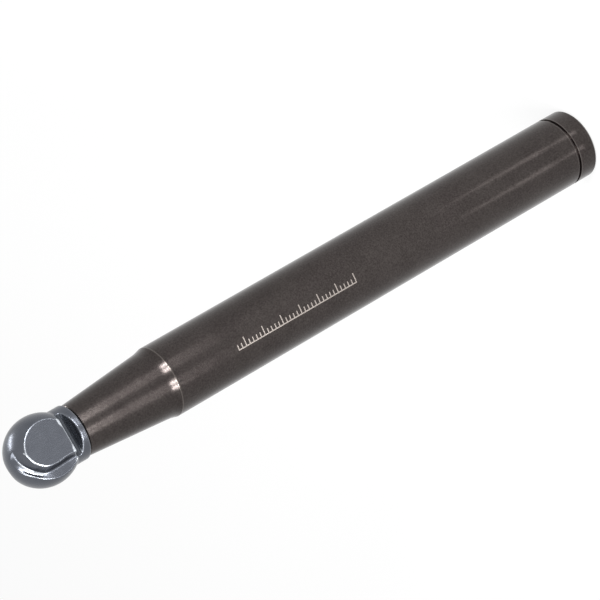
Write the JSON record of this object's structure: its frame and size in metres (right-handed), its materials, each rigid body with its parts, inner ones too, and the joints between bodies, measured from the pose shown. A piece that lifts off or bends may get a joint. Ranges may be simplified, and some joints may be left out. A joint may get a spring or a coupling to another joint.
{
  "type": "milling tool shank",
  "caption": "Straight round milling tool shank with a long tapered nose and a screwed-in ball-shaped cutting head with flutes and wrench flats.",
  "frame": {"origin": "centre of the flat butt face, which stands on the surface", "axes": "+Z along the tool's axis from the butt to the ball's tip; the head's ground flats face -Y and +Y"},
  "size_m": [0.016, 0.016, 0.1562],
  "materials": {
    "shank_steel": "satin brown-black oxide on turned steel",
    "head_carbide": "ground grey carbide, polished on the ball and matt on the flats"
  },
  "bodies": {
    "root": {"shank": "shank_steel", "cutting_head": "head_carbide"}
  },
  "joints": []
}
